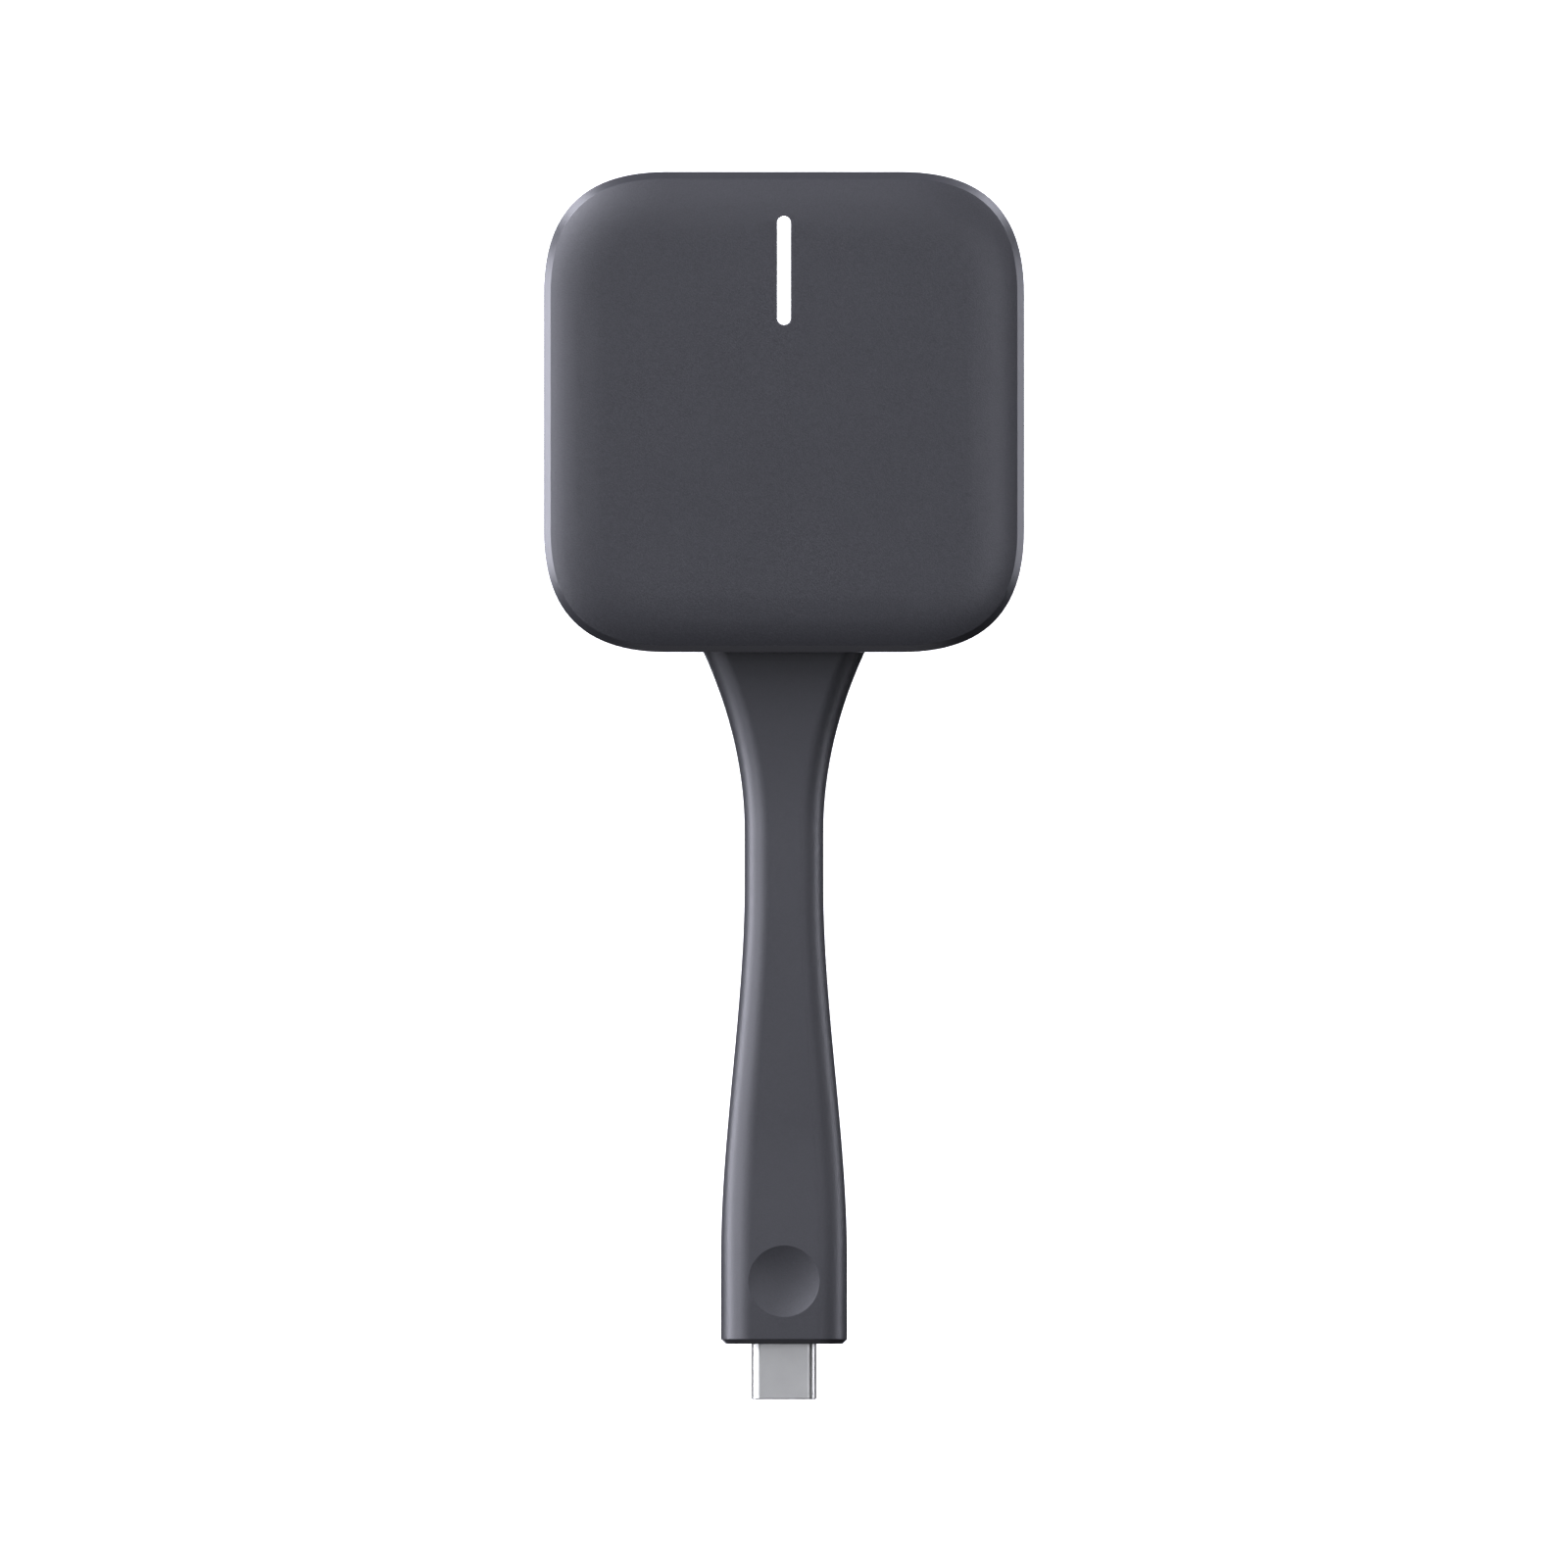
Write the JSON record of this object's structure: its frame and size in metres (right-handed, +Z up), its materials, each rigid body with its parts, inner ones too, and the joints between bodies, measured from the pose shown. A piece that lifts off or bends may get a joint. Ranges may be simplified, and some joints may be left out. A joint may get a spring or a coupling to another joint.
{
  "type": "wireless streaming key",
  "caption": "Plug-in wireless streaming key: a square push-button head with a light bar on a flat bendable tail that ends in a reversible plug.",
  "frame": {"origin": "centre of the foot pad's underside, on the surface that the head rests on", "axes": "+Z up out of the key cover, +Y from the plug towards the head, along the tail; +X across the head"},
  "size_m": [0.0612, 0.1564, 0.0134],
  "materials": {
    "key_cover_plastic": "fine spark-eroded satin grain",
    "case_plastic": "fine spark-eroded satin grain",
    "tail_elastomer": "soft matte moulding",
    "pad_rubber": "matte, finely ribbed",
    "silicone": "soft matte",
    "foam": "fine open foam",
    "light_diffuser": "milky, lit from behind",
    "screw_steel": "blackened zinc",
    "spring_steel": "bright wire",
    "tinned_steel": "tinned sheet",
    "plug_steel": "satin nickel",
    "brass": "turned",
    "gold_contacts": "gold-plated",
    "board_laminate": "solder-masked laminate",
    "module_laminate": "solder-masked laminate",
    "chip_epoxy": "moulded epoxy",
    "capacitor_ceramic": "fired ceramic with tinned ends",
    "ferrite": "pressed ferrite",
    "black_plastic": "moulded",
    "white_plastic": "moulded",
    "connector_plastic": "moulded nylon",
    "inner_mould": "low-pressure mould",
    "lead_jacket": "smooth jacket",
    "wire_jacket": "smooth jacket"
  },
  "bodies": {
    "head": {"lower_case": "case_plastic", "foot_pad": "pad_rubber", "case_screws": "screw_steel", "mid_frame": "black_plastic", "threaded_inserts": "brass", "return_springs": "spring_steel", "main_board": "board_laminate", "processor": "chip_epoxy", "memory_chip": "chip_epoxy", "thermal_pad": "silicone", "wireless_module": "module_laminate", "wireless_module_can": "tinned_steel", "crystal": "tinned_steel", "power_chip": "chip_epoxy", "capacitors": "capacitor_ceramic", "power_inductors": "ferrite", "shield_fence": "tinned_steel", "shield_lid": "tinned_steel", "switch_body": "black_plastic", "switch_dome": "spring_steel", "indicator_leds": "white_plastic", "light_baffle": "white_plastic", "antenna_left": "tinned_steel", "antenna_right": "tinned_steel", "antenna_leads": "lead_jacket", "board_header": "connector_plastic", "wire_connector": "connector_plastic", "wires": "wire_jacket", "tail_clamp": "tinned_steel", "clamp_screws": "screw_steel", "tail_root": "tail_elastomer", "cable_core": "lead_jacket"},
    "key": {"key_cover": "key_cover_plastic", "light_bar": "light_diffuser", "light_bar_gasket": "foam", "key_retaining_screws": "screw_steel", "actuator_pad": "silicone", "switch_plunger": "black_plastic"},
    "tail_1": {"tail_link_1": "tail_elastomer"},
    "tail_2": {"tail_link_2": "tail_elastomer"},
    "tail_3": {"tail_link_3": "tail_elastomer"},
    "plug": {"plug_grip": "tail_elastomer", "plug_inner_mould": "inner_mould", "plug_board": "board_laminate", "crimp_ferrule": "tinned_steel", "plug_shell": "plug_steel", "plug_housing": "black_plastic", "plug_contacts": "gold_contacts", "plug_latches": "spring_steel"}
  },
  "joints": [
    {"name": "key_press", "type": "slide", "parent": "head", "child": "key", "axis": [0, 0, -1], "range_m": [0, 0.0004], "stiffness_N_per_m": 4000, "springref_m": -0.0001, "deforming": ["return_springs", "switch_dome"]},
    {"name": "tail_bend_1", "type": "hinge", "parent": "head", "child": "tail_1", "pos_m": [0, -0.047, 0.0039], "axis": [1, 0, 0], "range_deg": [-20, 20], "stiffness_Nm_per_rad": 0.16, "deforming": ["cable_core"]},
    {"name": "tail_bend_2", "type": "hinge", "parent": "tail_1", "child": "tail_2", "pos_m": [0, -0.061, 0.0039], "axis": [1, 0, 0], "range_deg": [-20, 20], "stiffness_Nm_per_rad": 0.14, "deforming": ["cable_core"]},
    {"name": "tail_bend_3", "type": "hinge", "parent": "tail_2", "child": "tail_3", "pos_m": [0, -0.075, 0.0039], "axis": [1, 0, 0], "range_deg": [-20, 20], "stiffness_Nm_per_rad": 0.14, "deforming": ["cable_core"]},
    {"name": "tail_bend_4", "type": "hinge", "parent": "tail_3", "child": "plug", "pos_m": [0, -0.089, 0.0039], "axis": [1, 0, 0], "range_deg": [-20, 20], "stiffness_Nm_per_rad": 0.14, "deforming": ["cable_core"]}
  ]
}
